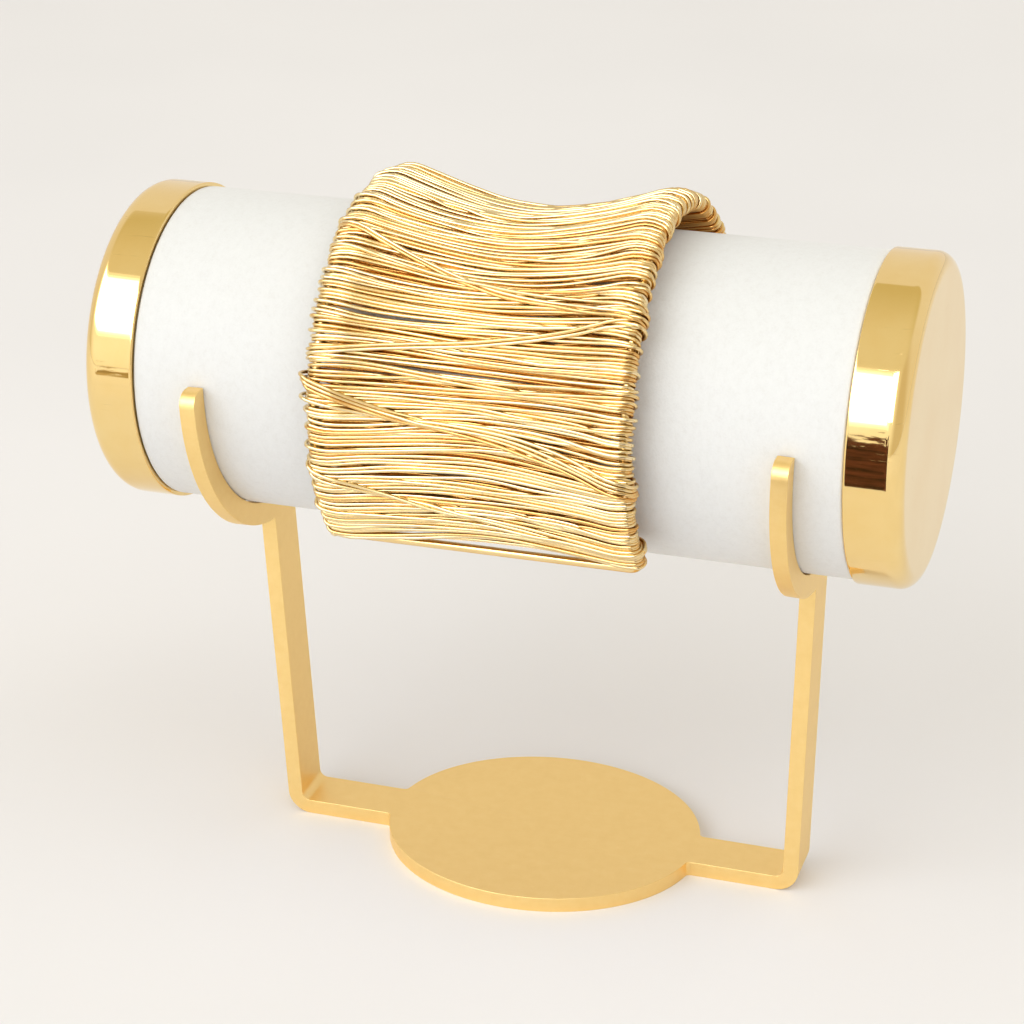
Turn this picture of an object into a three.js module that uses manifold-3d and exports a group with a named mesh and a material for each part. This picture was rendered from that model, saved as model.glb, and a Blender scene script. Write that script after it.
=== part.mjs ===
// Wire-wound cuff bracelet on a display stand with a velvet roll.
// Units are millimetres. X runs along the roll, -Y is the front, Z is up.
// The origin is the middle of the stand's underside.

import * as THREE from 'three';
import { mergeVertices } from 'three/addons/utils/BufferGeometryUtils.js';
import Module from 'manifold-3d';

const wasm = await Module();
wasm.setup();

// Gap kept between pieces that touch
const SEAT = 0.3;

// Display roll and its end caps
const ROLL_RADIUS = 29.3;
const ROLL_LENGTH = 131.5;
const ROLL_SHIFT = -1.45;
const ROLL_SIDES = 60;
const CAP_STEP = 0.7;
const CAP_WIDTH = 10.1;
const CAP_WALL = 1.4;
const CAP_EDGE = 3;
const CAP_SIDES = 52;
const CAP_EDGE_STEPS = 4;

// Stand of flat strip and plate
const AXIS_HEIGHT = 99.5;
const STRIP_THICKNESS = 3;
const STRIP_WIDTH = 9.6;
const BEND_RADIUS = 1.6;
const UPRIGHT_LEAN = THREE.MathUtils.degToRad(1.83);
const BASE_LENGTH = 62.7;
const BASE_DEPTH = 51.8;
const BASE_SEGMENTS = 36;
const CRADLE_INSET = 11.4;
const CRADLE_BAND = 4.3;
const CRADLE_TIP_RISE = THREE.MathUtils.degToRad(3);
const CRADLE_SEGMENTS = 13;

// Cuff: a rod bent to a closed loop, and the wire wound over it
const ROD_RADIUS = 0.8;
const ROD_SIDES = 8;
const WIRE_DIAMETER = 0.68;
const WINDING_GAP = 0.2;
const WAIST_PLAY = 0.1;
const WAIST_WALL = 1.5;
const WAIST_DEPTH = 5.5;
const WAIST_DEPTH_AT_ENDS = 1.6;
const WAIST_SETTLING = THREE.MathUtils.degToRad(55);
const WAIST_POWER = 1.7;
const CUFF_SHIFT = -0.9;
const CUFF_SPAN = THREE.MathUtils.degToRad(303);
const CUFF_MIDDLE = THREE.MathUtils.degToRad(71.5);
const HALF_WIDTH_MIDDLE = 26.8;
const HALF_WIDTH_ENDS = 28.9;
const WIDENING = THREE.MathUtils.degToRad(100);
const CORNER_RADIUS = 2.2;
const CORNER_STEPS = 3;
const RIM_STEPS = 60;
const BUNDLES = 50;
const BUNDLE_HEIGHT = 0.24;
const WALL_POINTS = 10;
const RIM_POINTS = 4;
const SLIT_STEPS = 4;

// Slits between the bundles: place round the cuff as a share of its half span, middle and
// length as shares of the half width, and width as a share of the wire
const SLITS = [
	{ turn: - 0.72, middle: 0.05, length: 0.75, width: 2.1 },
	{ turn: - 0.4, middle: - 0.35, length: 0.6, width: 1.8 },
	{ turn: - 0.1, middle: 0.25, length: 0.7, width: 1.8 },
	{ turn: 0.22, middle: - 0.2, length: 0.6, width: 1.8 },
	{ turn: 0.55, middle: 0.3, length: 0.7, width: 1.8 },
	{ turn: 0.77, middle: - 0.74, length: 0.45, width: 2.6 },
	{ turn: 0.8, middle: 0.17, length: 0.95, width: 2.2 },
];

// Sizes that follow from the ones above
const capRadius = ROLL_RADIUS + CAP_STEP;
const rollEnd = ROLL_LENGTH / 2;
const cradleInner = ROLL_RADIUS + SEAT;
const cradleOuter = cradleInner + CRADLE_BAND;
const cradleX = rollEnd - CRADLE_INSET;
const uprightFoot = cradleX + STRIP_THICKNESS / 2 - AXIS_HEIGHT * Math.tan( UPRIGHT_LEAN );
const loopRadius = ROD_RADIUS + WINDING_GAP + WIRE_DIAMETER;
const waistInner = ROLL_RADIUS + SEAT + WAIST_PLAY;
const waistOuter = waistInner + WAIST_WALL;
const rodRadiusFromAxis = waistOuter + WAIST_DEPTH - loopRadius;
const cuffHeight = AXIS_HEIGHT - WAIST_PLAY;
const halfSpan = CUFF_SPAN / 2;
const windingHalfSpan = halfSpan - ( CORNER_RADIUS + WINDING_GAP ) / rodRadiusFromAxis;

const finishes = {
	gold: { color: 0xe3b768, roughness: 0.35, metalness: 1 },
	polished: { color: 0xe8bd62, roughness: 0.08, metalness: 1 },
	wire: { color: 0xe9c886, roughness: 0.25, metalness: 1 },
	velvet: { color: 0xf1eeea, roughness: 0.95, metalness: 0 },
};

// Closed geometry as a solid that can be joined and cut
function toSolid( geometry ) {

	const bare = geometry.clone();
	bare.deleteAttribute( 'normal' );
	bare.deleteAttribute( 'uv' );
	const merged = mergeVertices( bare, 1e-5 );
	return new wasm.Manifold( new wasm.Mesh( {
		numProp: 3,
		vertProperties: new Float32Array( merged.attributes.position.array ),
		triVerts: new Uint32Array( merged.index.array ),
	} ) );

}

function toGeometry( solid ) {

	const mesh = solid.getMesh();
	const geometry = new THREE.BufferGeometry();
	geometry.setAttribute( 'position', new THREE.BufferAttribute( mesh.vertProperties, 3 ) );
	geometry.setIndex( new THREE.BufferAttribute( mesh.triVerts, 1 ) );
	geometry.computeVertexNormals();
	return geometry;

}

function named( name, geometry, finish ) {

	const mesh = new THREE.Mesh( geometry, new THREE.MeshStandardMaterial( finish ) );
	mesh.name = name;
	return mesh;

}

// Skin over rings of points, closed on itself, or ended with flat lids of the given outline
function loft( rings, lidOutline ) {

	const count = rings[ 0 ].length;
	const index = [];
	const spans = lidOutline ? rings.length - 1 : rings.length;
	for ( let i = 0; i < spans; i ++ ) {

		const near = i * count;
		const far = ( ( i + 1 ) % rings.length ) * count;
		for ( let j = 0; j < count; j ++ ) {

			const k = ( j + 1 ) % count;
			index.push( near + j, near + k, far + k, near + j, far + k, far + j );

		}

	}

	if ( lidOutline ) {

		const last = ( rings.length - 1 ) * count;
		for ( const [ a, b, c ] of THREE.ShapeUtils.triangulateShape( lidOutline, [] ) ) {

			index.push( a, c, b, last + a, last + b, last + c );

		}

	}

	const vertices = rings.flat().flatMap( ( p ) => [ p.x, p.y, p.z ] );
	const geometry = new THREE.BufferGeometry();
	geometry.setAttribute( 'position', new THREE.Float32BufferAttribute( vertices, 3 ) );
	geometry.setIndex( index );
	geometry.computeVertexNormals();
	return geometry;

}

// Velvet roll with a narrower spigot at each end for the caps
function rollGeometry() {

	const spigotRadius = capRadius - CAP_WALL - SEAT;
	const spigotEnd = rollEnd + CAP_WIDTH - CAP_WALL - SEAT;
	const profile = [
		new THREE.Vector2( 0, - spigotEnd ),
		new THREE.Vector2( spigotRadius, - spigotEnd ),
		new THREE.Vector2( spigotRadius, - rollEnd + SEAT ),
		new THREE.Vector2( ROLL_RADIUS, - rollEnd + SEAT ),
		new THREE.Vector2( ROLL_RADIUS, rollEnd - SEAT ),
		new THREE.Vector2( spigotRadius, rollEnd - SEAT ),
		new THREE.Vector2( spigotRadius, spigotEnd ),
		new THREE.Vector2( 0, spigotEnd ),
	];
	return new THREE.LatheGeometry( profile, ROLL_SIDES );

}

// Metal cup with a rounded outer edge, its mouth at y = 0 and its face at y = CAP_WIDTH
function capGeometry() {

	const bore = capRadius - CAP_WALL;
	const floor = CAP_WIDTH - CAP_WALL;
	const edge = new THREE.Path();
	edge.moveTo( capRadius, 0 );
	edge.lineTo( capRadius, CAP_WIDTH - CAP_EDGE );
	edge.absarc( capRadius - CAP_EDGE, CAP_WIDTH - CAP_EDGE, CAP_EDGE, 0, Math.PI / 2, false );
	const profile = [
		new THREE.Vector2( 0, floor ),
		new THREE.Vector2( bore, floor ),
		new THREE.Vector2( bore, 0 ),
		...edge.getPoints( CAP_EDGE_STEPS ),
		new THREE.Vector2( 0, CAP_WIDTH ),
	];
	return new THREE.LatheGeometry( profile, CAP_SIDES );

}

// Oval plate under the strip
function basePlate() {

	const oval = new THREE.Shape();
	oval.absellipse( 0, 0, BASE_LENGTH / 2, BASE_DEPTH / 2, 0, 2 * Math.PI, false, 0 );
	return new THREE.ExtrudeGeometry( oval, {
		depth: STRIP_THICKNESS, bevelEnabled: false, curveSegments: BASE_SEGMENTS,
	} );

}

// Half of the strip: along the floor, round the bend and up to the cradle, on the +X side
function halfStrip() {

	const top = AXIS_HEIGHT - cradleOuter + CRADLE_BAND / 2;
	const outerBend = BEND_RADIUS + STRIP_THICKNESS;
	const slope = Math.tan( UPRIGHT_LEAN );
	const thickness = STRIP_THICKNESS / Math.cos( UPRIGHT_LEAN );
	const turn = Math.PI / 2 - UPRIGHT_LEAN;
	const bendX = uprightFoot + outerBend * slope - outerBend / Math.cos( UPRIGHT_LEAN );
	const side = new THREE.Shape();
	side.moveTo( 0, 0 );
	side.lineTo( bendX, 0 );
	side.absarc( bendX, outerBend, outerBend, - Math.PI / 2, turn - Math.PI / 2, false );
	side.lineTo( uprightFoot + top * slope, top );
	side.lineTo( uprightFoot + top * slope - thickness, top );
	side.absarc( bendX, outerBend, BEND_RADIUS, turn - Math.PI / 2, - Math.PI / 2, true );
	side.lineTo( 0, STRIP_THICKNESS );
	const geometry = new THREE.ExtrudeGeometry( side, {
		depth: STRIP_WIDTH, bevelEnabled: false, curveSegments: 8,
	} );
	geometry.rotateX( Math.PI / 2 );
	geometry.translate( 0, STRIP_WIDTH / 2, 0 );
	return geometry;

}

// Open ring with round tips that holds the roll, leaning with its upright, on the +X side
function cradle() {

	const tip = CRADLE_BAND / 2;
	const middle = cradleInner + tip;
	const rise = CRADLE_TIP_RISE;
	const right = new THREE.Vector2( Math.cos( rise ), Math.sin( rise ) ).multiplyScalar( middle );
	const ring = new THREE.Shape();
	ring.absarc( 0, 0, cradleOuter, Math.PI - rise, 2 * Math.PI + rise, false );
	ring.absarc( right.x, right.y, tip, rise, rise + Math.PI, false );
	ring.absarc( 0, 0, cradleInner, 2 * Math.PI + rise, Math.PI - rise, true );
	ring.absarc( - right.x, right.y, tip, - rise, Math.PI - rise, false );
	const geometry = new THREE.ExtrudeGeometry( ring, {
		depth: STRIP_THICKNESS, bevelEnabled: false, curveSegments: CRADLE_SEGMENTS,
	} );
	geometry.translate( 0, 0, - STRIP_THICKNESS / 2 );
	geometry.rotateX( Math.PI / 2 );
	geometry.rotateZ( Math.PI / 2 );
	geometry.rotateY( UPRIGHT_LEAN );
	geometry.translate( cradleX, 0, AXIS_HEIGHT );
	return geometry;

}

// Plate, bent strip and both cradles as one welded piece
function standGeometry() {

	const half = toSolid( halfStrip() ).add( toSolid( cradle() ) );
	const otherHalf = half.rotate( [ 0, 0, 180 ] );
	return toGeometry( toSolid( basePlate() ).add( half ).add( otherHalf ) );

}

// Share of the way from the middle of the cuff to a given turn, eased at both ends
function eased( turn, reach ) {

	return THREE.MathUtils.smoothstep( Math.abs( turn ), 0, reach );

}

// Half width between the rod's two sides at a turn away from the cuff's middle
function halfWidthAt( turn ) {

	return THREE.MathUtils.lerp( HALF_WIDTH_MIDDLE, HALF_WIDTH_ENDS, eased( turn, WIDENING ) );

}

// Depth of the waist, which flattens out towards the straight end bars
function waistDepthAt( turn ) {

	const fromEnd = THREE.MathUtils.smoothstep( halfSpan - Math.abs( turn ), 0, WAIST_SETTLING );
	return THREE.MathUtils.lerp( WAIST_DEPTH_AT_ENDS, WAIST_DEPTH, fromEnd );

}

// Point at x, a radius from the cuff's axis and a turn away from its middle
function onCuff( x, radius, turn ) {

	const angle = CUFF_MIDDLE + turn;
	return new THREE.Vector3( x, radius * Math.cos( angle ), radius * Math.sin( angle ) );

}

// Middle line of the rod's closed loop: two rims, two end bars and four round corners
function rodLine() {

	const line = [];
	const cornerTurn = CORNER_RADIUS / rodRadiusFromAxis;
	const rimHalf = halfSpan - cornerTurn;
	for ( const side of [ 1, - 1 ] ) {

		for ( let i = 0; i <= RIM_STEPS; i ++ ) {

			const turn = side * THREE.MathUtils.lerp( - rimHalf, rimHalf, i / RIM_STEPS );
			line.push( { x: side * halfWidthAt( turn ), turn } );

		}

		for ( let i = 1; i <= 2 * CORNER_STEPS; i ++ ) {

			const second = i > CORNER_STEPS;
			const angle = ( second ? i - 1 : i ) / CORNER_STEPS * Math.PI / 2;
			const along = Math.cos( angle ) * CORNER_RADIUS;
			const round = Math.sin( angle ) * cornerTurn;
			const corner = ( second ? - side : side ) * ( HALF_WIDTH_ENDS - CORNER_RADIUS );
			line.push( { x: corner + side * along, turn: side * ( rimHalf + round ) } );

		}

	}

	return line;

}

// Round rod along its middle line, each ring squared to the line there
function rodGeometry() {

	const line = rodLine();
	const centres = line.map( ( { x, turn } ) => onCuff( x, rodRadiusFromAxis, turn ) );
	const rings = centres.map( ( centre, i ) => {

		const before = centres[ ( i + centres.length - 1 ) % centres.length ];
		const after = centres[ ( i + 1 ) % centres.length ];
		const along = after.clone().sub( before ).normalize();
		const outward = onCuff( 0, 1, line[ i ].turn );
		const across = along.clone().cross( outward ).normalize();
		return circleRing( centre, outward, across, ROD_RADIUS, ROD_SIDES );

	} );
	return loft( rings );

}

function circleRing( centre, first, second, radius, sides ) {

	return Array.from( { length: sides }, ( _, j ) => {

		const angle = j / sides * 2 * Math.PI;
		return centre.clone()
			.addScaledVector( first, radius * Math.cos( angle ) )
			.addScaledVector( second, radius * Math.sin( angle ) );

	} );

}

// Tunnel that the rod runs through, past both ends of the winding
function tunnel( side ) {

	const reach = windingHalfSpan + WINDING_GAP / rodRadiusFromAxis;
	const rings = [];
	for ( let i = 0; i <= RIM_STEPS; i ++ ) {

		const turn = side * THREE.MathUtils.lerp( - reach, reach, i / RIM_STEPS );
		const centre = onCuff( side * halfWidthAt( turn ), rodRadiusFromAxis, turn );
		const across = new THREE.Vector3( - side, 0, 0 );
		const radius = ROD_RADIUS + WINDING_GAP;
		rings.push( circleRing( centre, onCuff( 0, 1, turn ), across, radius, ROD_SIDES ) );

	}

	const circle = new THREE.Path().absarc( 0, 0, 1, 0, 2 * Math.PI, false );
	return loft( rings, circle.getPoints( ROD_SIDES ).slice( 0, ROD_SIDES ) );

}

// Outline of the winding across one bundle: over the outside, round a rim, back inside
function windingOutline( turn, proud ) {

	const half = halfWidthAt( turn );
	const depth = waistDepthAt( turn );
	const innerDepth = depth - ( 2 * loopRadius - WAIST_WALL ) * depth / WAIST_DEPTH;
	const loop = loopRadius + proud;
	const outline = [];
	const sink = ( share ) => 1 - Math.abs( share ) ** WAIST_POWER;
	for ( let i = 0; i <= WALL_POINTS; i ++ ) {

		const share = 2 * i / WALL_POINTS - 1;
		const radius = rodRadiusFromAxis + loop - depth * sink( share );
		outline.push( new THREE.Vector2( share * half, radius ) );

	}

	for ( let i = 1; i < RIM_POINTS; i ++ ) {

		const angle = Math.PI / 2 - i / RIM_POINTS * Math.PI;
		outline.push( new THREE.Vector2(
			half + loop * Math.cos( angle ), rodRadiusFromAxis + loop * Math.sin( angle ) ) );

	}

	for ( let i = 0; i <= WALL_POINTS; i ++ ) {

		const share = 1 - 2 * i / WALL_POINTS;
		const radius = rodRadiusFromAxis - loopRadius - innerDepth * sink( share );
		outline.push( new THREE.Vector2( share * half, radius ) );

	}

	for ( let i = 1; i < RIM_POINTS; i ++ ) {

		const angle = - Math.PI / 2 - i / RIM_POINTS * Math.PI;
		outline.push( new THREE.Vector2(
			- half + loop * Math.cos( angle ), rodRadiusFromAxis + loop * Math.sin( angle ) ) );

	}

	return outline.reverse();

}

// Lens-shaped cutter that parts two bundles right through the wall
function slitCutter( { turn, middle, length, width } ) {

	const place = turn * halfSpan;
	const half = halfWidthAt( place );
	const reach = length * half / 2;
	const swell = width * WIRE_DIAMETER;
	const lens = new THREE.Shape();
	lens.moveTo( - reach, 0 );
	lens.quadraticCurveTo( 0, - swell, reach, 0 );
	lens.quadraticCurveTo( 0, swell, - reach, 0 );
	const geometry = new THREE.ExtrudeGeometry( lens, {
		depth: WAIST_DEPTH + 2 * loopRadius + 2, bevelEnabled: false, curveSegments: SLIT_STEPS,
	} );
	geometry.translate( middle * half, 0, waistInner - 1 );
	geometry.rotateX( CUFF_MIDDLE + place - Math.PI / 2 );
	return geometry;

}

// Wire wound round both rims as one ribbed wall, bundle beside bundle
function windingGeometry() {

	const rings = [];
	const steps = 2 * BUNDLES;
	for ( let i = 0; i <= steps; i ++ ) {

		const turn = THREE.MathUtils.lerp( - windingHalfSpan, windingHalfSpan, i / steps );
		const outline = windingOutline( turn, i % 2 ? BUNDLE_HEIGHT : 0 );
		rings.push( outline.map( ( p ) => onCuff( p.x, p.y, turn ) ) );

	}

	const lidOutline = windingOutline( windingHalfSpan, 0 );
	let wall = toSolid( loft( rings, lidOutline ) );
	for ( const side of [ 1, - 1 ] ) wall = wall.subtract( toSolid( tunnel( side ) ) );
	for ( const slit of SLITS ) wall = wall.subtract( toSolid( slitCutter( slit ) ) );
	return toGeometry( wall );

}

function displayRoll() {

	const group = new THREE.Group();
	const roll = named( 'display_roll', rollGeometry(), finishes.velvet );
	roll.rotation.z = - Math.PI / 2;
	group.add( roll );
	for ( const side of [ - 1, 1 ] ) {

		const name = side < 0 ? 'left_end_cap' : 'right_end_cap';
		const cap = named( name, capGeometry(), finishes.polished );
		cap.rotation.z = - side * Math.PI / 2;
		cap.position.x = side * rollEnd;
		group.add( cap );

	}

	group.position.set( ROLL_SHIFT, 0, AXIS_HEIGHT );
	return group;

}

function cuff() {

	const group = new THREE.Group();
	group.add( named( 'cuff_frame_rod', rodGeometry(), finishes.wire ) );
	group.add( named( 'wire_winding', windingGeometry(), finishes.wire ) );
	group.position.set( CUFF_SHIFT, 0, cuffHeight );
	return group;

}

const assembly = new THREE.Group();
assembly.add( named( 'stand_frame', standGeometry(), finishes.gold ) );
assembly.add( displayRoll() );
assembly.add( cuff() );

export default assembly;
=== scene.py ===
# Looks of the wire-wound cuff bracelet on its velvet display stand.
# Metres in the CAD frame: X along the roll, -Y is the front, Z is up, and the stand stands on z = 0.
import math
import bmesh
import bpy
import numpy as np
from mathutils import Matrix, Vector


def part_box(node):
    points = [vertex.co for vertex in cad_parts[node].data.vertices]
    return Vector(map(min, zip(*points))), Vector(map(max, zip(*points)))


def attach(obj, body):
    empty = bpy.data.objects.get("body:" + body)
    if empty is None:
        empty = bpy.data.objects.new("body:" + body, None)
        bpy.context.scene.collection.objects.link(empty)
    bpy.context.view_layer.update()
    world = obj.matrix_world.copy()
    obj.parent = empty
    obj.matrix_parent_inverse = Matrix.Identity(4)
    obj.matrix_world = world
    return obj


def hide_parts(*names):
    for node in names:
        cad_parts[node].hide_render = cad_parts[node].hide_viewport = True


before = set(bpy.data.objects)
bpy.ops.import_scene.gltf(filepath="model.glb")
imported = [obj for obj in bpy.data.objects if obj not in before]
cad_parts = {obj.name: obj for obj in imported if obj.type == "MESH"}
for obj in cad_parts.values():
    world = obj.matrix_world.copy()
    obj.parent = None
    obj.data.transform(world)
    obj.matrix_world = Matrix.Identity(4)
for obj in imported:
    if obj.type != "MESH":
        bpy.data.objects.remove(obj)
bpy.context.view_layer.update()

MM = 0.001
TOUCH = 0.01 * MM

# Camera at the photograph's angle
CAMERA_PLACE = (0.152623, -0.448453, 0.300572)
CAMERA_TURN = 0.3381
CAMERA_DIP = 0.4494
CAMERA_ROLL = 0.0250
CAMERA_LENS = 98.36
CAMERA_SENSOR = 36.0

# Display roll and its caps, placed by the CAD nodes
roll_low, roll_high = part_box("display_roll")
left_cap_low, left_cap_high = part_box("left_end_cap")
right_cap_low, right_cap_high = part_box("right_end_cap")
AXIS_HEIGHT = (roll_low.z + roll_high.z) / 2
ROLL_RADIUS = (roll_high.z - roll_low.z) / 2
CAP_RADIUS = (left_cap_high.z - left_cap_low.z) / 2
CAP_WALL = 1.4 * MM
CAP_EDGE = 3 * MM
SEAT = 0.3 * MM
CAP_FACE_INSET = 0.5 * MM
CAP_MOUTH_EDGE = 0.2 * MM
CAP_SIDES = 200
ROLL_SIDES = 180
VELVET_TUCK = 0.2 * MM
VELVET_EDGE = 0.35 * MM

# Stand of flat strip and plate
STRIP_THICKNESS = 3 * MM
STRIP_WIDTH = 9.6 * MM
BEND_RADIUS = 1.6 * MM
UPRIGHT_LEAN = math.radians(1.83)
BASE_LENGTH = 62.7 * MM
BASE_DEPTH = 51.8 * MM
CRADLE_X = 54.35 * MM
CRADLE_BAND = 4.3 * MM
CRADLE_RISE = math.radians(2)
CRADLE_TIP = 2.8 * MM
CRADLE_TIP_ROUND = 2.7 * MM
PLATE_CORNER = 0.9 * MM
PLATE_STEPS = 236
ARM_STEPS = 14
ARM_START = 5 * MM
BEND_STEPS = 14
CRADLE_STEPS = 38
STEM_START = 1 * MM
JOINT_BELOW_AXIS = 36 * MM
STAND_EDGE = 0.35 * MM

# Cuff: rod loop and winding, in millimetres and radians as on the drawing
ROD_RADIUS = 0.8
WIRE_DIAMETER = 0.68
WIRE_RADIUS = WIRE_DIAMETER / 2
LOOP_RADIUS = ROD_RADIUS + WIRE_RADIUS
RIM_CLEARANCE = 1.68
WAIST_WALL = 1.5
WAIST_DEPTH = 5.2
WAIST_DEPTH_AT_ENDS = 1.6
WAIST_SETTLING = math.radians(55)
WAIST_POWER = 1.7
WAIST_OUTER = 31.2
VELVET_CLEARANCE = 0.03
ROLL_PLAY = 0.1
CUFF_SHIFT = -0.8
CUFF_LEAN = 0.014
CUFF_HEIGHT = AXIS_HEIGHT / MM - ROLL_PLAY
CUFF_MIDDLE = math.radians(71.5)
HALF_SPAN = math.radians(303) / 2
HALF_WIDTH_MIDDLE = 27.3
HALF_WIDTH_ENDS = 28.3
WIDENING = math.radians(100)
CORNER_RADIUS = 2.2
CORNER_STEPS = 8
RIM_STEPS = 180
ROD_FROM_AXIS = WAIST_OUTER + WAIST_DEPTH - RIM_CLEARANCE
WINDING_HALF_SPAN = HALF_SPAN - (CORNER_RADIUS + 0.2) / ROD_FROM_AXIS
RIM_EASING = -1.3
RIM_BEND = 0.15
END_TWIST = math.radians(1.8)
LAST_TURNS_BACK = 2.0 / ROD_FROM_AXIS
LAST_TURNS = 0.3

# Winding
SEED = 11
PLAIN_TURNS = 254
RUN_POINTS = 41
LOOP_POINTS = 9
WINDING_PIECES = 3
SETTLING_ROUNDS = 110
RIM_JITTER = 0.16
LOOSE_SHARE = 0.33
LOOP_LEANS = ((1.1,), (0.4,))
LOOP_LEAN_SPREAD = 0.35
SMALL_PARTINGS = 90
STRAND_SIDES = 8
DIE_LINES = 2
DIE_LINE_LENGTH = 9
CROSSING_SHARE = 0.2
CROSSING_RISE = 0.4
SLANTED_RISE = 0.9

# Waves across the runs: how many, shortest and longest in millimetres, steepness and tilt; and
# the waves and size in millimetres of each strand's own wander
OUTER_BUNDLES = (7, 2.4, 6.5, 0.045, 0.6)
OUTER_DRIFT = (3, 11, 26, 0.03, 0.3)
OUTER_WANDER = (3, 0.22)
INNER_BUNDLES = (6, 2.6, 7, 0.05, 0.4)
INNER_WANDER = (2, 0.12)

# Each round of settling: how far strands are lifted over each other, how strongly the runs and
# the loops keep their places, and how much the wire draws straight in turn and in rise
LIFTING = 1.3
RUN_HOLD = 0.025
LOOP_HOLD = 0.05
LOOP_RISE_HOLD = 0.03
STRAIGHTENING = (0.3, 0.25)
SINKING = 0.995

# Strands laid slantwise over the others: rim places in degrees from the cuff's middle,
# bow and skew of the run in degrees, and slack of the loop at the left rim in millimetres
SLANTED = tuple(dict(zip(("left", "right", "bow", "skew", "slack"), row)) for row in (
    (43.0, 65.5, 3.2, 0.0, 0.2),
    (44.2, 66.8, 2.9, 0.4, 0.0),
    (52.3, 63.2, -0.6, 0.0, 0.2),
    (83.6, 66.0, 1.0, 1.4, 0.3),
    (84.8, 67.4, 0.8, 1.6, 0.0),
    (90.6, 116.0, 2.2, -5.0, 1.5),
    (91.9, 114.6, 1.8, -5.5, 1.1),
    (93.4, 117.4, 1.2, -4.0, 0.6),
    (96.9, 113.2, -1.5, -4.5, 1.2),
    (118.4, 138.6, 6.0, 0.0, 0.4),
    (120.8, 137.4, 4.2, 0.0, 0.0),
    (133.0, 137.6, 1.8, -1.0, 0.3),
    (-24.0, -38.0, 1.5, 0.0, 0.3),
    (-71.0, -58.0, -1.0, 2.0, 0.2),
    (-112.0, -99.0, 1.0, 0.0, 0.4),
))

# Places where the strands part: share of the half width, degrees from the cuff's middle at the
# place, its slope, half length as a share, half width in millimetres, and whether the inner layer
# parts too
PARTINGS = tuple(dict(zip(("share", "turn", "slope", "length", "width", "through"), row)) for row in (
    (-0.74, 117.0, 8.0, 0.16, 0.95, True),
    (0.18, 120.4, -5.0, 0.34, 0.75, True),
    (0.28, 65.3, 2.5, 0.34, 0.45, False),
    (-0.48, 82.0, 0.0, 0.26, 0.4, False),
    (-0.8, 69.6, -3.0, 0.18, 0.4, False),
    (0.15, 47.5, 1.5, 0.2, 0.35, False),
    (0.08, 89.8, -2.5, 0.24, 0.3, False),
    (-0.72, 102.5, -4.0, 0.2, 0.45, False),
    (0.1, -20.0, 2.0, 0.4, 0.6, False),
    (-0.3, -62.0, -3.0, 0.35, 0.7, True),
    (0.2, -110.0, 2.0, 0.4, 0.8, True),
))

# Light of the room by direction from the object: a bright glow near the window, a pale backdrop
# behind, and a warm ceiling that starts sharply above the backdrop. Each range of a direction's
# share or angle runs from none of the colour to all of it.
ROOM_COLOUR = (0.84, 0.74, 0.56)
GLOW_COLOUR = (1.4, 1.38, 1.3)
GLOW_AZIMUTH = math.radians(-28)
GLOW_ELEVATION = math.radians(33)
GLOW_RANGE = (math.radians(62), math.radians(18))
BACKDROP_COLOUR = (1.0, 0.95, 0.9)
BACKDROP_RANGE = (-0.35, 0.15)
BACKDROP_TOP = math.radians(57)
BACKDROP_EDGE = (math.radians(90.4), math.radians(89.6))
CEILING_COLOUR = (0.97, 0.9, 0.72)
CEILING_EDGE_COLOUR = (0.78, 0.68, 0.4)
CEILING_FADE = (math.radians(90), math.radians(38))
CEILING_RANGE = (0.66, 0.84)
SURROUND_STRENGTH = 0.85

# Softboxes aimed at the cuff, azimuth from the front to the right and elevation in degrees:
# the window, repeated in steps that lie behind each other, two that light only what is glossy,
# and two fills that glossy surfaces do not mirror
WINDOW_COLOUR = (0.96, 0.98, 1.0)
WINDOW = {"azimuth": -36, "elevation": 36, "power": 7, "colour": WINDOW_COLOUR}
WINDOW_DISTANCE = 2.2
WINDOW_WIDTH = 2.2
WINDOW_HEIGHT = 1.25
WINDOW_STEPS = (1.0, 1.1, 1.22)
GLOSS_LIGHTS = (
    {"name": "shine", "azimuth": -36, "elevation": 36, "distance": 2.156,
     "width": 2.2, "height": 1.25, "power": 12, "colour": WINDOW_COLOUR},
    {"name": "strip", "azimuth": 4, "elevation": 37, "distance": 2.2,
     "width": 0.8, "height": 1.3, "power": 12.5, "colour": WINDOW_COLOUR},
)
FILL_LIGHTS = (
    {"name": "fill_right", "azimuth": 62, "elevation": 56, "distance": 2.2,
     "width": 1.8, "height": 1.8, "power": 12, "colour": (0.92, 0.97, 1.0)},
    {"name": "fill_low", "azimuth": -5, "elevation": 20, "distance": 2.2,
     "width": 1.8, "height": 0.8, "power": 5, "colour": (1.0, 0.95, 0.88)},
)

# Mottled cards that only the polished caps mirror, with the share of the height from which
# their upper part turns ragged
DARK_CARDS = (
    {"name": "dark_card", "place": (0.056, -0.1, 0.0975), "width": 0.036, "height": 0.065,
     "colours": ((0.05, 0.03, 0.015), (0.19, 0.075, 0.055)), "ragged_from": 0.1},
    {"name": "small_card", "place": (-0.106, -0.1, 0.1), "width": 0.022, "height": 0.016,
     "colours": ((0.4, 0.3, 0.14), (0.7, 0.58, 0.35)), "ragged_from": -0.9},
)
FLOOR_SIZE = 5


def make_active(piece):
    if bpy.context.object and bpy.context.object.mode != "OBJECT":
        bpy.ops.object.mode_set(mode="OBJECT")
    bpy.ops.object.select_all(action="DESELECT")
    piece.select_set(True)
    bpy.context.view_layer.objects.active = piece


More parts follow.
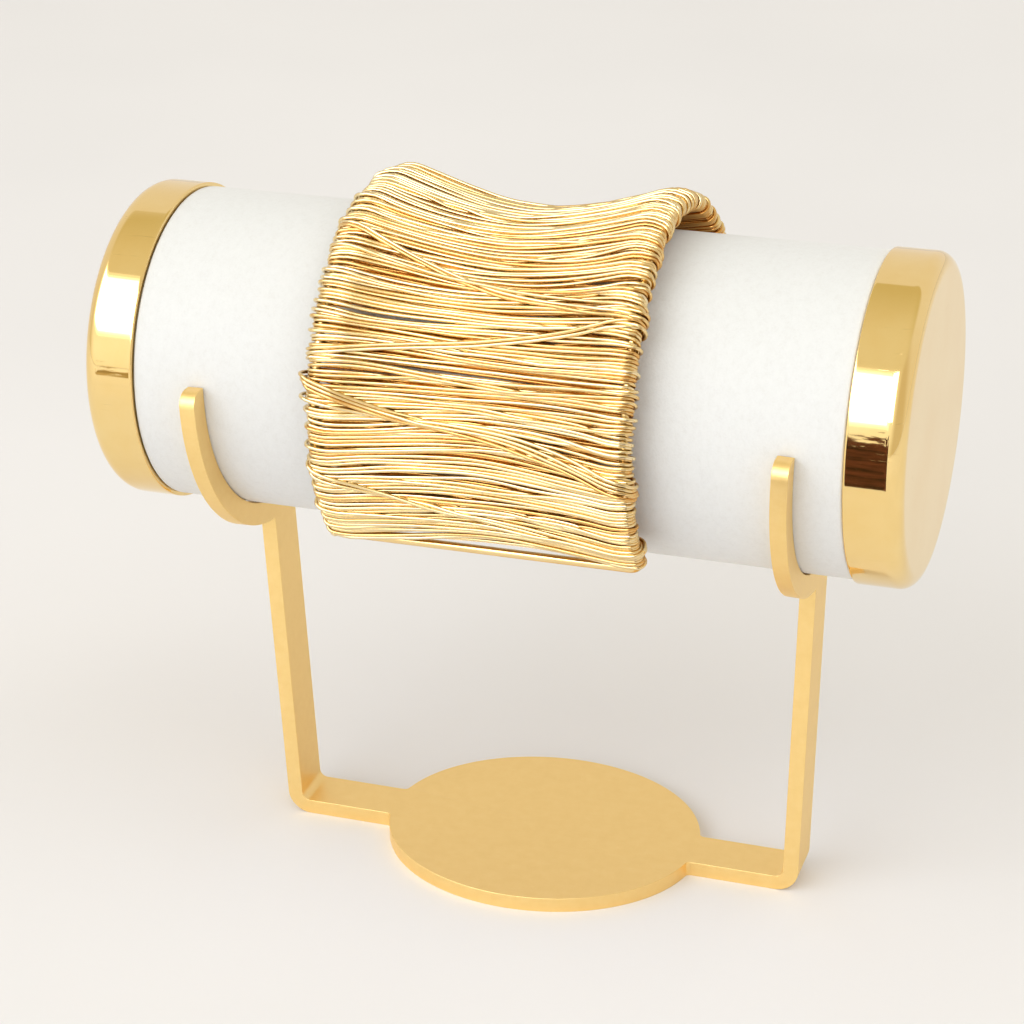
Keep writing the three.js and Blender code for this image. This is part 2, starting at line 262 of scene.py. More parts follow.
def new_piece(name, add, **sizes):
    """A fresh primitive, alone in the selection, with its place in its mesh."""
    bpy.ops.object.select_all(action="DESELECT")
    add(**sizes)
    piece = bpy.context.object
    piece.name = name
    piece.data.name = name
    bpy.ops.object.transform_apply(location=True, rotation=True, scale=True)
    return piece


def open_editing(piece, action="SELECT"):
    """Opens the piece for editing with all of it selected, or none."""
    make_active(piece)
    bpy.ops.object.mode_set(mode="EDIT")
    bpy.ops.mesh.select_all(action=action)


def close_editing():
    bpy.ops.object.mode_set(mode="OBJECT")


def pick_faces(piece, wanted):
    """Opens the piece for editing with just the faces selected that are wanted."""
    open_editing(piece, "DESELECT")
    bpy.ops.mesh.select_mode(type="FACE")
    mesh = bmesh.from_edit_mesh(piece.data)
    for face in mesh.faces:
        face.select_set(wanted(face.calc_center_median(), face.normal))
    bmesh.update_edit_mesh(piece.data)


def pick_edges(piece, wanted):
    """Opens the piece for editing with just the edges selected that are wanted."""
    open_editing(piece, "DESELECT")
    bpy.ops.mesh.select_mode(type="EDGE")
    mesh = bmesh.from_edit_mesh(piece.data)
    for edge in mesh.edges:
        edge.select_set(wanted(edge.verts[0].co, edge.verts[1].co))
    bmesh.update_edit_mesh(piece.data)


def slice_at(piece, x):
    """A ring of edges round the piece at x, which keeps the shading of flat stretches true."""
    open_editing(piece)
    bpy.ops.mesh.bisect(plane_co=(x, 0, 0), plane_no=(1, 0, 0))
    close_editing()


def face_outwards(piece):
    """Turns every face outwards, after a spin."""
    open_editing(piece)
    bpy.ops.mesh.remove_doubles(threshold=0.02 * MM)
    bpy.ops.mesh.normals_make_consistent(inside=False)
    close_editing()


def smooth(piece, angle=math.radians(35)):
    make_active(piece)
    bpy.ops.object.shade_smooth_by_angle(angle=angle)


def hand_over(piece, slot, material, *nodes):
    """Puts the finished piece in the part, in place of its CAD nodes."""
    piece.data.materials.clear()
    piece.data.materials.append(material)
    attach(piece, "root")
    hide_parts(*nodes)


# Node materials


def new_material(name, **constants):
    """A material whose shader has the given constant values on its own sockets."""
    material = bpy.data.materials.new(name)
    material.use_nodes = True
    shader = material.node_tree.nodes["Principled BSDF"]
    for socket, value in constants.items():
        shader.inputs[socket.replace("_", " ")].default_value = value
    return material


def add_node(material, kind, settings=None, **inputs):
    """A node of the material or world, its inputs given as values or as sockets."""
    tree = material.node_tree
    node = tree.nodes.new(kind)
    for setting, value in (settings or {}).items():
        setattr(node, setting, value)
    for name, value in inputs.items():
        socket = node.inputs[name.replace("_", " ")]
        if isinstance(value, bpy.types.NodeSocket):
            tree.links.new(value, socket)
        else:
            socket.default_value = value
    return node


def grain(material, place, scale, detail=2.0, roughness=0.5, stretch=(1, 1, 1)):
    """Noise over a coordinate, stretched along some axes, as a value from 0 to 1."""
    mapped = add_node(material, "ShaderNodeMapping", Vector=place, Scale=stretch)
    noise = add_node(
        material, "ShaderNodeTexNoise",
        Vector=mapped.outputs["Vector"], Scale=scale, Detail=detail, Roughness=roughness,
    )
    return noise.outputs["Fac"]


def ranged(material, value, low, high, to_low=0.0, to_high=1.0):
    """The value's range from low to high spread over another range."""
    spread = add_node(
        material, "ShaderNodeMapRange", {"clamp": True},
        Value=value, From_Min=low, From_Max=high, To_Min=to_low, To_Max=to_high,
    )
    return spread.outputs["Result"]


def ramp(material, factor, *stops):
    """Colours by factor, from stops of place and colour."""
    node = add_node(material, "ShaderNodeValToRGB", Fac=factor)
    elements = node.color_ramp.elements
    while len(elements) < len(stops):
        elements.new(0.5)
    for element, (place, colour) in zip(elements, stops):
        element.position = place
        element.color = (*colour, 1)
    return node.outputs["Color"]


def combined(material, operation, first, second):
    node = add_node(material, "ShaderNodeMath", {"operation": operation})
    for socket, value in zip(node.inputs, (first, second)):
        if isinstance(value, bpy.types.NodeSocket):
            material.node_tree.links.new(value, socket)
        else:
            socket.default_value = value
    return node.outputs["Value"]


def tinted(material, colour, amount):
    """The colour darkened to an amount from 0 to 1."""
    node = add_node(material, "ShaderNodeVectorMath", {"operation": "SCALE"})
    material.node_tree.links.new(colour, node.inputs[0])
    material.node_tree.links.new(amount, node.inputs["Scale"])
    return node.outputs["Vector"]


def raise_surface(material, height, distance, strength=1.0, under=None):
    """Bump by a height, on top of an earlier bump."""
    node = add_node(
        material, "ShaderNodeBump", Height=height, Distance=distance, Strength=strength,
    )
    if under:
        material.node_tree.links.new(under, node.inputs["Normal"])
    return node.outputs["Normal"]


def plug(material, **sockets):
    shader = material.node_tree.nodes["Principled BSDF"]
    for name, value in sockets.items():
        material.node_tree.links.new(value, shader.inputs[name.replace("_", " ")])


def object_place(material):
    return add_node(material, "ShaderNodeTexCoord").outputs["Object"]


def velvet_material():
    """Short off-white nap: soft pile bump, faint patches where it lies another way, and sheen."""
    material = new_material(
        "short_velvet_nap",
        Roughness=0.95, Sheen_Weight=0.35, Sheen_Roughness=0.45, Specular_IOR_Level=0.15,
    )
    place = object_place(material)
    pile = grain(material, place, 2600, detail=3, roughness=0.7)
    tufts = grain(material, place, 900, detail=3, roughness=0.65, stretch=(1, 0.7, 0.7))
    patches = grain(material, place, 90, detail=5, roughness=0.65)
    mixed = combined(material, "ADD", combined(material, "MULTIPLY", pile, 0.9), tufts)
    mixed = combined(material, "ADD", mixed, combined(material, "MULTIPLY", patches, 0.2))
    colour = ramp(
        material, ranged(material, mixed, 0.75, 1.35),
        (0.0, (0.67, 0.68, 0.695)), (0.45, (0.695, 0.71, 0.73)), (1.0, (0.715, 0.73, 0.75)),
    )
    normal = raise_surface(material, tufts, 0.12 * MM, 0.5)
    normal = raise_surface(material, pile, 0.08 * MM, 0.5, under=normal)
    plug(material, Base_Color=colour, Normal=normal)
    return material


def polished_material():
    """Mirror gold plate with hairline scratches, rubbed patches and a faint waviness."""
    material = new_material("polished_gold_plate", Metallic=1.0)
    place = object_place(material)
    hairs = grain(material, place, 150, detail=4, roughness=0.7, stretch=(0.3, 0.6, 14))
    cross_hairs = grain(material, place, 120, detail=4, roughness=0.7, stretch=(0.5, 3, 12))
    rubbed = grain(material, place, 70, detail=4, roughness=0.6)
    waves = grain(material, place, 45, detail=1, roughness=0.4)
    scratches = combined(
        material, "ADD",
        ranged(material, hairs, 0.67, 0.77), ranged(material, cross_hairs, 0.68, 0.78),
    )
    worn = combined(material, "ADD", ranged(material, rubbed, 0.45, 0.75, 0.0, 0.07),
                    combined(material, "MULTIPLY", scratches, 0.12))
    roughness = combined(material, "ADD", worn, 0.045)
    colour = ramp(
        material, ranged(material, rubbed, 0.3, 0.7),
        (0.0, (0.925, 0.665, 0.27)), (1.0, (0.955, 0.725, 0.335)),
    )
    marked = combined(material, "SUBTRACT", 1.0, combined(material, "MULTIPLY", scratches, 0.2))
    colour = tinted(material, colour, marked)
    normal = raise_surface(material, waves, 0.12 * MM, 0.35)
    normal = raise_surface(material, scratches, 0.012 * MM, 0.6, under=normal)
    plug(material, Base_Color=colour, Roughness=roughness, Normal=normal)
    return material


def satin_material():
    """Satin gold plate over blasted steel: fine grain, cloudy tone and soft streaks."""
    material = new_material("satin_gold_plate", Metallic=1.0)
    place = object_place(material)
    fine = grain(material, place, 3200, detail=3, roughness=0.7)
    clouds = grain(material, place, 420, detail=5, roughness=0.7)
    streaks = grain(material, place, 700, detail=4, roughness=0.7, stretch=(0.25, 1, 1))
    tone = combined(material, "ADD", combined(material, "MULTIPLY", clouds, 0.7),
                    combined(material, "MULTIPLY", streaks, 0.3))
    colour = ramp(
        material, ranged(material, tone, 0.32, 0.68),
        (0.0, (0.93, 0.66, 0.265)), (0.5, (0.95, 0.69, 0.29)), (1.0, (0.965, 0.72, 0.32)),
    )
    roughness = ranged(material, tone, 0.3, 0.7, 0.40, 0.52)
    normal = raise_surface(material, clouds, 0.04 * MM, 0.35)
    normal = raise_surface(material, fine, 0.035 * MM, 0.6, under=normal)
    plug(material, Base_Color=colour, Roughness=roughness, Normal=normal)
    return material


def wire_material():
    """Drawn wire of light gold: every strand its own tone, with die lines along it, and painted shade
    that turns the inner layer's wires a deeper orange-brown.
    """
    material = new_material("drawn_gold_wire", Metallic=1.0)
    tone = add_node(material, "ShaderNodeAttribute", {"attribute_name": "strand_tone"})
    lengthwise = add_node(material, "ShaderNodeAttribute", {"attribute_name": "strand_place"})
    place = object_place(material)
    die_lines = grain(material, lengthwise.outputs["Vector"], 1.0, detail=1, roughness=0.5)
    patches = grain(material, place, 130, detail=4, roughness=0.6)
    # Painted shade: the inner wires, which lie under the outer runs, are pulled towards deep
    # orange-brown as shade between the layers.
    depth = add_node(material, "ShaderNodeAttribute", {"attribute_name": "strand_inner_shade"})
    mixed = combined(material, "ADD", combined(material, "MULTIPLY", tone.outputs["Fac"], 0.6),
                     combined(material, "MULTIPLY", patches, 0.4))
    mixed = combined(
        material, "SUBTRACT", mixed, combined(material, "MULTIPLY", depth.outputs["Fac"], 0.6))
    # The lowest stop is the deep orange-brown of the painted shade that the inner wires reach.
    colour = ramp(
        material, ranged(material, mixed, 0.15, 0.85),
        (0.0, (0.75, 0.42, 0.13)), (0.3, (0.845, 0.615, 0.285)), (0.6, (0.89, 0.705, 0.385)),
        (1.0, (0.925, 0.79, 0.52)),
    )
    roughness = combined(
        material, "ADD", ranged(material, die_lines, 0.3, 0.7, 0.0, 0.06),
        ranged(material, tone.outputs["Fac"], 0.0, 1.0, 0.18, 0.11),
    )
    normal = raise_surface(material, die_lines, 0.002 * MM, 0.2)
    plug(material, Base_Color=colour, Roughness=roughness, Normal=normal)
    return material


def rod_material():
    """The cuff's rod: the same gold, smoother, with drawing marks and small dents."""
    material = new_material("drawn_gold_rod", Metallic=1.0)
    place = object_place(material)
    marks = grain(material, place, 350, detail=5, roughness=0.7, stretch=(0.2, 1, 1))
    dents = grain(material, place, 260, detail=2, roughness=0.5)
    colour = ramp(
        material, ranged(material, marks, 0.3, 0.7),
        (0.0, (0.88, 0.62, 0.27)), (1.0, (0.95, 0.75, 0.40)),
    )
    roughness = ranged(material, marks, 0.3, 0.7, 0.14, 0.26)
    normal = raise_surface(material, dents, 0.03 * MM, 0.4)
    plug(material, Base_Color=colour, Roughness=roughness, Normal=normal)
    return material


# Display roll, caps and stand


def make_velvet_roll():
    """The velvet wrap, turned in under each cap, on a roll that ends in two spigots."""
    start = left_cap_high.x + VELVET_TUCK
    end = right_cap_low.x - VELVET_TUCK
    spigot_radius = CAP_RADIUS - CAP_WALL - SEAT
    piece = new_piece(
        "velvet_roll", bpy.ops.mesh.primitive_cylinder_add,
        vertices=ROLL_SIDES, radius=ROLL_RADIUS, depth=end - start,
        location=((start + end) / 2, 0, AXIS_HEIGHT), rotation=(0, math.pi / 2, 0),
    )
    for side, tip in ((-1, roll_low.x), (1, roll_high.x)):
        pick_faces(piece, lambda centre, normal: normal.x * side > 0.9)
        bpy.ops.mesh.inset(thickness=ROLL_RADIUS - spigot_radius)
        reach = tip - (end if side > 0 else start)
        bpy.ops.mesh.extrude_region_move(TRANSFORM_OT_translate={"value": (reach, 0, 0)})
        close_editing()
    near_skin = ROLL_RADIUS - 0.11 * MM
    for x in (start, end):
        pick_edges(piece, lambda a, b: all(
            abs(p.x - x) < TOUCH and math.hypot(p.y, p.z - AXIS_HEIGHT) > near_skin
            for p in (a, b)
        ))
        bpy.ops.mesh.bevel(offset=VELVET_EDGE, segments=4, profile=0.5)
        close_editing()
    for x in (start + 2 * VELVET_EDGE, end - 2 * VELVET_EDGE):
        slice_at(piece, x)
    smooth(piece)
    return piece


def make_cap(name, low, high, side):
    """A spun cup over the roll's end, its outer edge rolled over and its mouth eased."""
    piece = new_piece(
        name, bpy.ops.mesh.primitive_cylinder_add,
        vertices=CAP_SIDES, radius=CAP_RADIUS, depth=high.x - low.x,
        location=((low.x + high.x) / 2, 0, AXIS_HEIGHT), rotation=(0, math.pi / 2, 0),
    )
    face, mouth = (high.x, low.x) if side > 0 else (low.x, high.x)
    pick_faces(piece, lambda centre, normal: normal.x * side < -0.9)
    bpy.ops.mesh.inset(thickness=CAP_WALL)
    floor = face - side * CAP_WALL
    bpy.ops.mesh.extrude_region_move(TRANSFORM_OT_translate={"value": (floor - mouth, 0, 0)})
    close_editing()
    pick_edges(piece, lambda a, b: abs(a.x - face) < TOUCH and abs(b.x - face) < TOUCH)
    bpy.ops.mesh.bevel(offset=CAP_EDGE, segments=12, profile=0.5)
    close_editing()
    pick_faces(piece, lambda centre, normal: normal.x * side > 0.999)
    bpy.ops.mesh.inset(thickness=CAP_FACE_INSET)
    close_editing()
    pick_edges(piece, lambda a, b: abs(a.x - mouth) < TOUCH and abs(b.x - mouth) < TOUCH)
    bpy.ops.mesh.bevel(offset=CAP_MOUTH_EDGE, segments=3, profile=0.5)
    close_editing()
    for x in (face - side * (CAP_EDGE + 0.4 * MM), mouth + side * 0.5 * MM):
        slice_at(piece, x)
    smooth(piece)
    return piece


def make_base_plate():
    """The oval plate; its rim has faces that end just where the arms' edges leave it."""
    return new_piece(
        "stand", bpy.ops.mesh.primitive_cylinder_add,
        vertices=PLATE_STEPS, radius=0.5, depth=STRIP_THICKNESS,
        location=(0, 0, STRIP_THICKNESS / 2), scale=(BASE_LENGTH, BASE_DEPTH, 1),
    )


def draw_arm(piece, side):
    """Draws one arm out of the plate's rim, bends it up and runs it to its cradle."""
    outer = BEND_RADIUS + STRIP_THICKNESS
    slope = math.tan(UPRIGHT_LEAN)
    foot = CRADLE_X + STRIP_THICKNESS / 2 - AXIS_HEIGHT * slope
    bend_x = foot + outer * slope - outer / math.cos(UPRIGHT_LEAN)
    turn = math.pi / 2 - UPRIGHT_LEAN
    pick_faces(piece, lambda centre, normal: (
        normal.x * side > 0.5 and centre.x * side > 0 and abs(centre.y) < STRIP_WIDTH / 2))
    bpy.ops.mesh.extrude_region_move(TRANSFORM_OT_translate={"value": (side * ARM_START, 0, 0)})
    bpy.ops.transform.resize(value=(0, 1, 1), center_override=(side * bend_x, 0, 0))
    bpy.ops.mesh.spin(
        steps=BEND_STEPS, angle=side * turn, center=(side * bend_x, 0, outer), axis=(0, 1, 0))
    middle = BEND_RADIUS + STRIP_THICKNESS / 2
    start = outer - middle * math.sin(UPRIGHT_LEAN)
    top = AXIS_HEIGHT - JOINT_BELOW_AXIS * math.cos(UPRIGHT_LEAN)
    rise = (side * math.sin(UPRIGHT_LEAN), 0, math.cos(UPRIGHT_LEAN))
    length = (top - start) / rise[2]
    bpy.ops.mesh.extrude_region_move(
        TRANSFORM_OT_translate={"value": [length * part for part in rise]})
    bpy.ops.mesh.delete(type="FACE")
    close_editing()


def join_flats(piece):
    """Turns every face outwards and makes each flat side one face."""
    face_outwards(piece)
    open_editing(piece)
    bpy.ops.mesh.dissolve_limited(angle_limit=math.radians(0.3))
    close_editing()


def make_cradle(side):
    """The open ring that holds the roll, its tips rounded off, and the stem that it stands on."""
    middle = ROLL_RADIUS + SEAT + CRADLE_BAND / 2
    outer = ROLL_RADIUS + SEAT + CRADLE_BAND
    stem_half = BASE_DEPTH / 2 * math.sin(ARM_STEPS * math.pi / PLATE_STEPS)
    stem_angle = math.asin(stem_half / outer)
    arm_angle = math.pi / 2 + CRADLE_RISE - stem_angle
    piece = new_piece(
        "cradle", bpy.ops.mesh.primitive_cube_add, size=1,
        location=(0, middle, CRADLE_TIP / 2), scale=(STRIP_THICKNESS, CRADLE_BAND, CRADLE_TIP),
    )
    pick_faces(piece, lambda centre, normal: normal.z < -0.9)
    for steps, angle in (
            (CRADLE_STEPS, arm_angle), (ARM_STEPS, 2 * stem_angle), (CRADLE_STEPS, arm_angle)):
        bpy.ops.mesh.spin(steps=steps, angle=angle, center=(0, 0, 0), axis=(1, 0, 0))
    bpy.ops.mesh.extrude_region_move(TRANSFORM_OT_translate={"value": (
        0, CRADLE_TIP * math.sin(2 * CRADLE_RISE), CRADLE_TIP * math.cos(2 * CRADLE_RISE))})
    close_editing()
    face_outwards(piece)
    seat_piece(piece, Matrix.Rotation(CRADLE_RISE, 4, "X"))
    tip_y = outer * math.cos(CRADLE_RISE) - CRADLE_TIP * math.sin(CRADLE_RISE)
    tip_z = outer * math.sin(CRADLE_RISE) + CRADLE_TIP * math.cos(CRADLE_RISE)
    pick_edges(piece, lambda a, b: abs(a.x - b.x) > 1 * MM and all(
        abs(abs(p.y) - tip_y) < 0.1 * MM and abs(p.z - tip_z) < 0.1 * MM for p in (a, b)))
    bpy.ops.mesh.bevel(offset=CRADLE_TIP_ROUND, segments=8, profile=0.5)
    close_editing()
    pick_faces(piece, lambda centre, normal: (
        normal.z < -0.9 and centre.z < -middle and abs(centre.y) < stem_half))
    bpy.ops.mesh.extrude_region_move(TRANSFORM_OT_translate={"value": (0, 0, -STEM_START)})
    bpy.ops.transform.resize(value=(1, 1, 0), center_override=(0, 0, -JOINT_BELOW_AXIS))
    bpy.ops.mesh.delete(type="FACE")
    close_editing()
    seat_piece(
        piece,
        Matrix.Translation((side * CRADLE_X, 0, AXIS_HEIGHT))
        @ Matrix.Rotation(side * UPRIGHT_LEAN, 4, "Y"),
    )
    return piece


def seat_piece(piece, place):
    """Moves the piece by a matrix and puts the move in its mesh."""
    piece.matrix_world = place
    make_active(piece)
    bpy.ops.object.transform_apply(location=True, rotation=True, scale=True)


def make_stand():
    """Plate and both arms from one sheet with the cradles welded on, its edges broken."""
    piece = make_base_plate()
    for side in (1, -1):
        draw_arm(piece, side)
    cradles = [make_cradle(side) for side in (1, -1)]
    make_active(piece)
    for cradle in cradles:
        cradle.select_set(True)
    bpy.ops.object.join()
    join_flats(piece)
    half = STRIP_WIDTH / 2
    pick_edges(piece, lambda a, b: (
        abs(a.z - b.z) > 2 * MM and math.hypot(a.x - b.x, a.y - b.y) < TOUCH
        and abs(abs(a.y) - half) < 0.05 * MM and abs(a.x) < BASE_LENGTH / 2))
    bpy.ops.mesh.bevel(offset=PLATE_CORNER, segments=6, profile=0.5)
    close_editing()
    bevel = piece.modifiers.new("broken_edges", "BEVEL")
    bevel.width = STAND_EDGE
    bevel.segments = 3
    bevel.limit_method = "ANGLE"
    bevel.angle_limit = math.radians(40)
    make_active(piece)
    bpy.ops.object.modifier_apply(modifier=bevel.name)
    smooth(piece, math.radians(50))
    weighted = piece.modifiers.new("true_flats", "WEIGHTED_NORMAL")
    weighted.keep_sharp = True
    bpy.ops.object.modifier_apply(modifier=weighted.name)
    return piece


# Cuff


def eased(value):
    """Smooth step from 0 to 1."""
    held = np.clip(value, 0.0, 1.0)
    return held * held * (3 - 2 * held)


def half_width(turn):
    """Half width between the rod's two sides at a turn away from the cuff's middle."""
    share = eased(np.abs(turn) / WIDENING)
    return HALF_WIDTH_MIDDLE + (HALF_WIDTH_ENDS - HALF_WIDTH_MIDDLE) * share


def waist_depth(turn):
    """Depth of the waist, which flattens out towards the end bars."""
    share = eased((HALF_SPAN - np.abs(turn)) / WAIST_SETTLING)
    return WAIST_DEPTH_AT_ENDS + (WAIST_DEPTH - WAIST_DEPTH_AT_ENDS) * share


def on_cuff(x, radius, turn):
    """Points at x, a radius from the cuff's axis and a turn from its middle, in millimetres."""
    twist = END_TWIST * eased(turn / HALF_SPAN) * (x / HALF_WIDTH_ENDS + 1) / 2
    angle = CUFF_MIDDLE + turn - twist
    rise = radius * np.sin(angle)
    return np.stack([
        x + CUFF_SHIFT - CUFF_LEAN * rise, radius * np.cos(angle), CUFF_HEIGHT + rise], axis=-1)


def rod_line():
    """x and turn along the rod's closed loop: two rims, two end bars and four round corners."""
    corner_turn = CORNER_RADIUS / ROD_FROM_AXIS
    rim_half = HALF_SPAN - corner_turn
    corner_x = HALF_WIDTH_ENDS - CORNER_RADIUS
    arc = np.arange(1, CORNER_STEPS + 1) / CORNER_STEPS * math.pi / 2
    xs, turns = [], []
    for side in (1, -1):
        rim = side * np.linspace(-rim_half, rim_half, RIM_STEPS + 1)
        xs.extend(side * half_width(rim))
        turns.extend(rim)
        xs.extend(side * (corner_x + np.cos(arc) * CORNER_RADIUS))
        turns.extend(side * (rim_half + np.sin(arc) * corner_turn))
        xs.extend(-side * (corner_x + np.sin(arc[:-1]) * CORNER_RADIUS))
        turns.extend(side * (rim_half + np.cos(arc[:-1]) * corner_turn))
    return np.array(xs), np.array(turns)


def make_tube(name, points, radius, closed, detail):
    """A round wire drawn along points given in millimetres, as a mesh."""
    curve = bpy.data.curves.new(name, "CURVE")
    curve.dimensions = "3D"
    curve.bevel_depth = radius * MM
    curve.bevel_resolution = detail
    curve.use_fill_caps = not closed
    spline = curve.splines.new("POLY")
    spline.points.add(len(points) - 1)
    places = np.ones((len(points), 4))
    places[:, :3] = points * MM
    spline.points.foreach_set("co", places.ravel())
    spline.use_cyclic_u = closed
    piece = bpy.data.objects.new(name, curve)
    bpy.context.collection.objects.link(piece)
    make_active(piece)
    bpy.ops.object.convert(target="MESH")
    bpy.ops.object.shade_smooth()
    return bpy.context.object


def make_rod():
    """The rod bent to a closed loop."""
    xs, turns = rod_line()
    return make_tube("cuff_rod", on_cuff(xs, ROD_FROM_AXIS, turns), ROD_RADIUS, True, 6)


def part_wires(lateral, height, neighbours):
    """Moves that push overlapping wires apart in a cross-section; a row holds one section."""
    order = np.argsort(lateral, axis=1)
    across = np.take_along_axis(lateral, order, 1)
    up = np.take_along_axis(height, order, 1)
    move_across = np.zeros_like(across)
    move_up = np.zeros_like(up)
    for step in range(1, neighbours + 1):
        gap_across = across[:, step:] - across[:, :-step]
        gap_up = up[:, step:] - up[:, :-step]
        distance = np.hypot(gap_across, gap_up) + 1e-6
        push = np.clip(WIRE_DIAMETER - distance, 0, None) / distance / 4
        move_across[:, step:] += push * gap_across
        move_across[:, :-step] -= push * gap_across
        move_up[:, step:] += push * gap_up
        move_up[:, :-step] -= push * gap_up
    back = np.argsort(order, axis=1)
    return np.take_along_axis(move_across, back, 1), np.take_along_axis(move_up, back, 1)


def waviness(chance, share, turn, count, shortest, longest, steepness, tilt):
    """Sideways shift of wires that lie in bundles, from a few waves across them."""
    place = turn * ROD_FROM_AXIS
    shift = np.zeros(np.broadcast(share, turn).shape)
    for _ in range(count):
        length = chance.uniform(shortest, longest)
        lean = chance.uniform(-tilt, tilt)
        start = chance.uniform(0, 2 * math.pi)
        wave = np.sin(2 * math.pi * (place / length + share * lean) + start)
        shift += wave * length * steepness
    return shift


def small_partings(chance):
    """The many short slits between bundles, as rows like those of PARTINGS."""
    return [{
        "share": chance.uniform(-0.78, 0.78),
        "turn": chance.uniform(-148, 148),
        "slope": chance.normal(0, 3.5),
        "length": chance.uniform(0.06, 0.2),
        "width": chance.uniform(0.1, 0.32),
        "through": False,
    } for _ in range(SMALL_PARTINGS)]


def parting_shift(partings, share, turn):
    """Sideways shift that opens the slits."""
    shift = np.zeros(np.broadcast(share, turn).shape)
    for parting in partings:
        along = (share - parting["share"]) / parting["length"]
        line = np.radians(parting["turn"] + parting["slope"] * (share - parting["share"]))
        away = (turn - line) * ROD_FROM_AXIS
        lens = np.exp(-along ** 4)
        shift += parting["width"] * lens * np.tanh(away / 0.3) * np.exp(-np.abs(away) / 2.2)
    return shift


def lay_strands(chance):
    """Where each turn crosses the two rims, and how it lies between them."""
    plain = np.linspace(-WINDING_HALF_SPAN, WINDING_HALF_SPAN, PLAIN_TURNS)
    drift = 0.5 * np.sin(plain * 5.1 + 1.0) + 0.4 * np.sin(plain * 9.7 + 2.0)
    last = eased((plain - WINDING_HALF_SPAN + LAST_TURNS) / LAST_TURNS)
    jitter = chance.normal(0, RIM_JITTER, (2, PLAIN_TURNS)) / ROD_FROM_AXIS
    slack = chance.uniform(0, 0.2, (2, PLAIN_TURNS))
    loose = chance.random((2, PLAIN_TURNS)) < LOOSE_SHARE
    slack += np.where(loose, chance.uniform(0.25, 0.95, (2, PLAIN_TURNS)), 0)
    table = {key: np.array([strand[key] for strand in SLANTED]) for key in SLANTED[0]}
    none = np.zeros(PLAIN_TURNS)
    strands = {
        "left": np.append(plain + jitter[0], np.radians(table["left"])),
        "right": np.append(
            plain + drift / ROD_FROM_AXIS - LAST_TURNS_BACK * last + jitter[1],
            np.radians(table["right"])),
        "bow": np.append(none, np.radians(table["bow"])),
        "skew": np.append(none, np.radians(table["skew"])),
        "left_slack": np.append(slack[0], table["slack"] + 0.5),
        "right_slack": np.append(slack[1], table["slack"] * 0.3 + 0.5),
        "slanted": np.append(none, np.ones(len(SLANTED))) > 0,
    }
    order = np.argsort(strands["left"])
    return {key: values[order] for key, values in strands.items()}


def first_lay(chance, strands):
    """Turn and rise of every point of the wire before its turns settle against each other."""
    share = np.linspace(-1, 1, RUN_POINTS)[None]
    free = 1 - np.abs(share) ** 5
    step = (np.arange(1, LOOP_POINTS + 1) / (LOOP_POINTS + 1))[None]
    left, right = strands["left"][:, None], strands["right"][:, None]
    slanted = strands["slanted"][:, None]
    count = len(left)
    next_left = np.append(left[1:], left[-1:], axis=0)
    partings = list(PARTINGS) + small_partings(chance)
    lean = np.array(LOOP_LEANS) + chance.normal(0, LOOP_LEAN_SPREAD, (2, count))
    lean = lean[:, :, None] / ROD_FROM_AXIS

    outer = left + (right - left) * (share + 1) / 2
    curl = (strands["bow"][:, None] + strands["skew"][:, None] * share) * (1 - share ** 2)
    shift = waviness(chance, share, outer, *OUTER_BUNDLES)
    shift += waviness(chance, share, outer, *OUTER_DRIFT)
    shift += own_wander(chance, share, count, *OUTER_WANDER)
    shift = np.where(slanted, 0.2 * shift, shift + parting_shift(partings, share, outer))
    outer = outer + curl + free * shift / ROD_FROM_AXIS

    inner_right, inner_left = right + lean[0], next_left - lean[1]
    inner = inner_left + (inner_right - inner_left) * (share + 1) / 2
    shift = waviness(chance, share, inner, *INNER_BUNDLES)
    shift += own_wander(chance, share, count, *INNER_WANDER)
    shift += parting_shift([parting for parting in PARTINGS if parting["through"]], share, inner)
    inner = inner + free * shift / ROD_FROM_AXIS

    turn = np.concatenate([
        outer, right + lean[0] * step, inner[:, ::-1], inner_left + lean[1] * step], axis=1)

    crossing = chance.random((count, 1)) < CROSSING_SHARE
    over = np.where(slanted, SLANTED_RISE, np.where(crossing, CROSSING_RISE, 0.0))
    over = over + chance.uniform(0, 0.14, (count, 1))
    right_slack = strands["right_slack"][:, None]
    left_slack = np.append(strands["left_slack"][1:], 0)[:, None]
    bulge = 0.55 + 0.45 * np.sin(math.pi * step)
    near_rim = np.abs(share) ** 3
    ends = strands["left_slack"][:, None] * (share < 0) + right_slack * (share > 0)
    outer_rise = 0.55 * ends * near_rim + over * (1 - near_rim)
    ends = left_slack * (share < 0) + right_slack * (share > 0)
    inner_rise = 0.55 * ends * near_rim + chance.uniform(-0.1, 0.1, (count, 1)) * (1 - near_rim)
    rise = np.concatenate([
        outer_rise, right_slack * bulge, inner_rise[:, ::-1], left_slack * bulge], axis=1)
    return share, turn, rise


